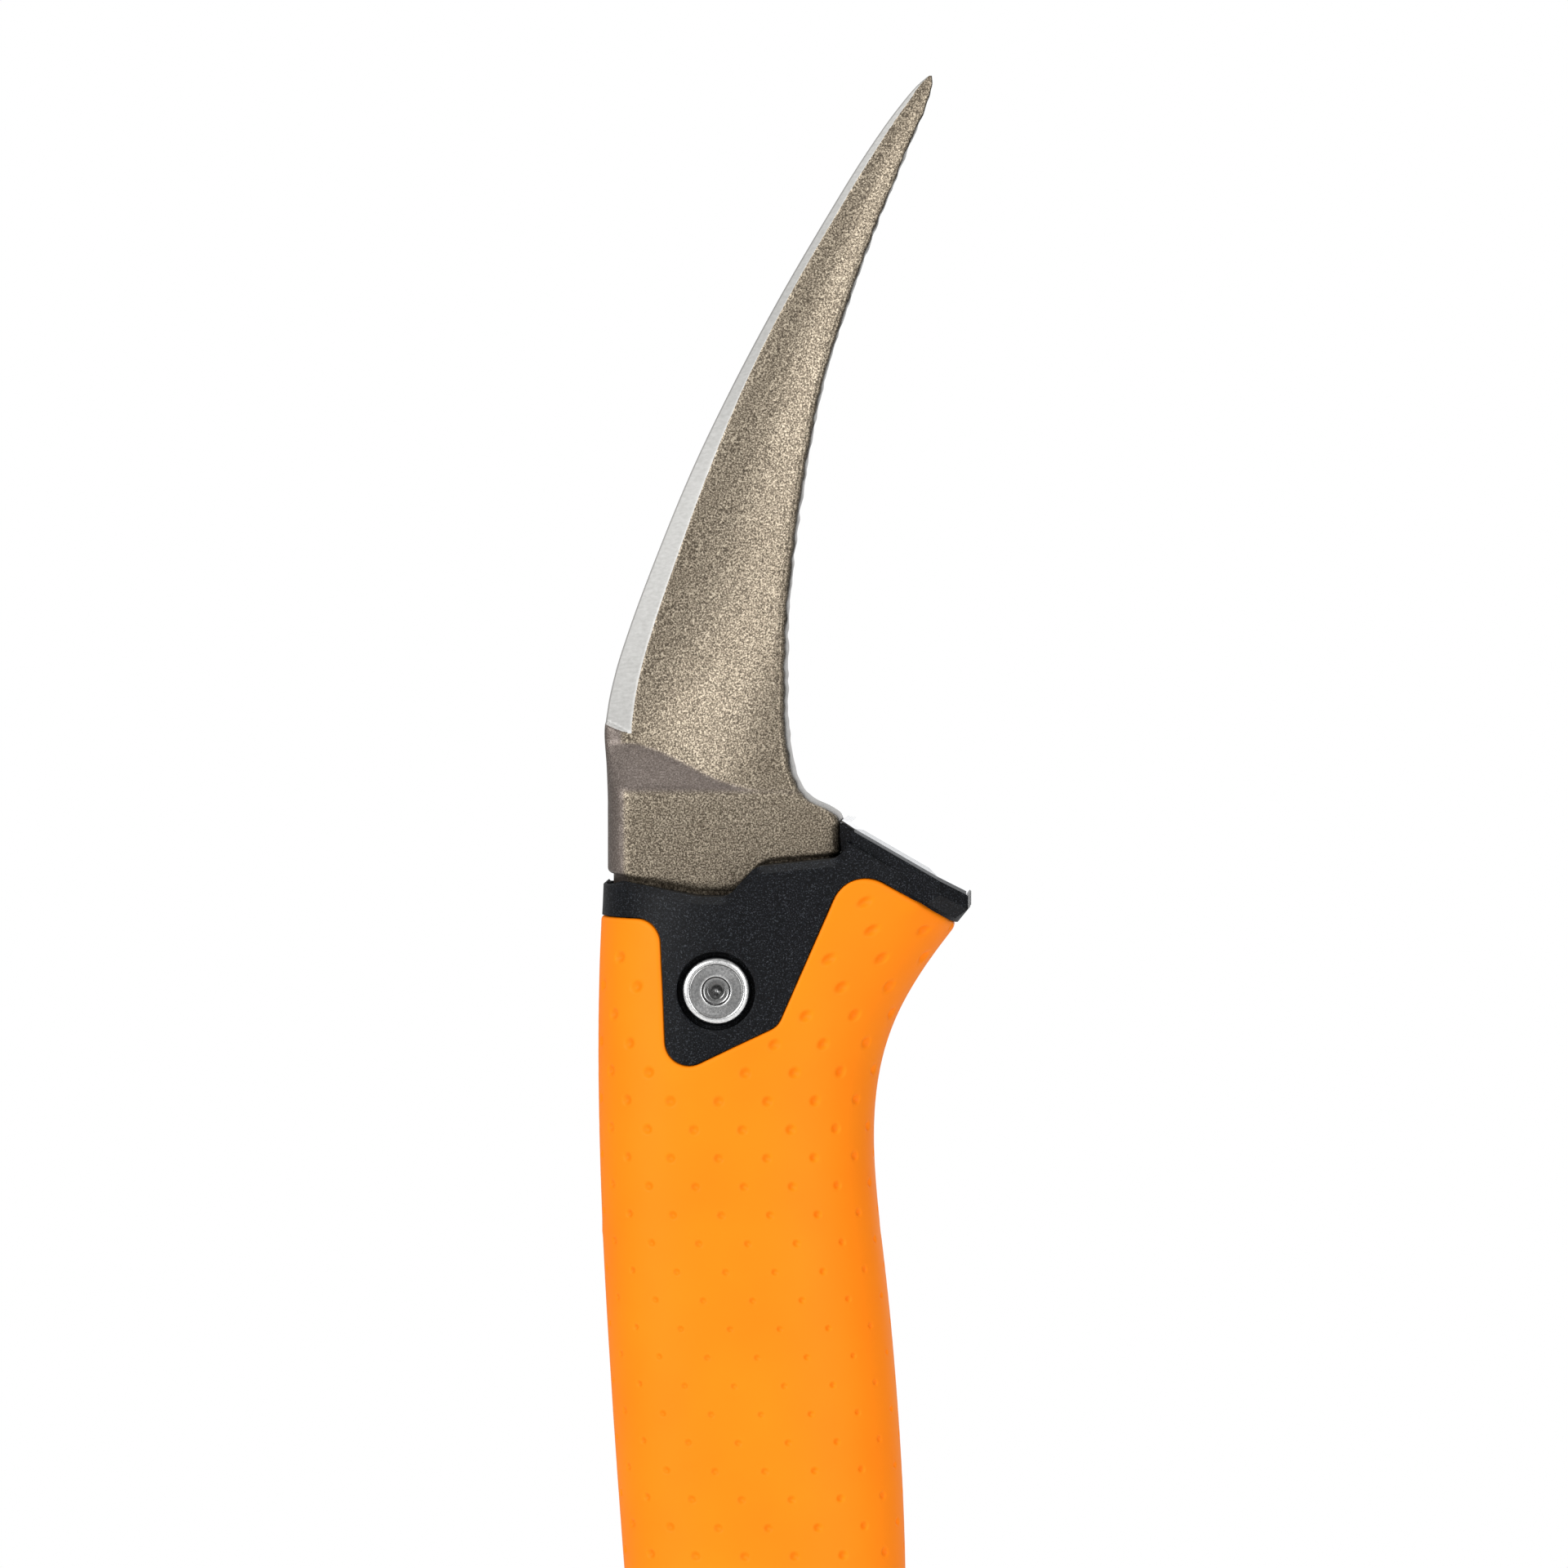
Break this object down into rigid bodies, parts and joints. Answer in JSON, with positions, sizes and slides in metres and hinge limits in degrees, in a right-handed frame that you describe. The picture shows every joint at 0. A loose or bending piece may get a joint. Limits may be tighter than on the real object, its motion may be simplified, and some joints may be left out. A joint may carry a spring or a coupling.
{
  "type": "hand pick",
  "caption": "Short one-hand ice tool: forged curved blade in line with a soft orange grip, black collar, cross bolt and a steel striking plate on a horn.",
  "frame": {"origin": "centre of the butt's flat face", "axes": "+Z from the butt to the blade's tip, +X from the ground edge to the spine and the horn, +Y across the tool"},
  "size_m": [0.0579, 0.0294, 0.3694],
  "materials": {
    "blade_coat": "matte taupe forged skin, blasted grain",
    "steel": "bright ground or turned steel",
    "brass": "turned",
    "core_plastic": "glass-filled nylon, fine spark-eroded grain",
    "grip_rubber": "soft-touch elastomer with small dimples",
    "sleeve_rubber": "matte"
  },
  "bodies": {
    "root": {"pick_blade": "blade_coat", "strike_plate": "steel", "strike_pin": "steel", "barrel_nut": "steel", "cross_bolt": "steel", "lock_washer": "steel", "butt_screw": "steel", "butt_insert": "brass", "handle_core": "core_plastic", "butt_cap": "core_plastic", "grip_sleeve": "grip_rubber", "tang_sleeve": "sleeve_rubber", "lanyard_eyelet": "steel"}
  },
  "joints": []
}
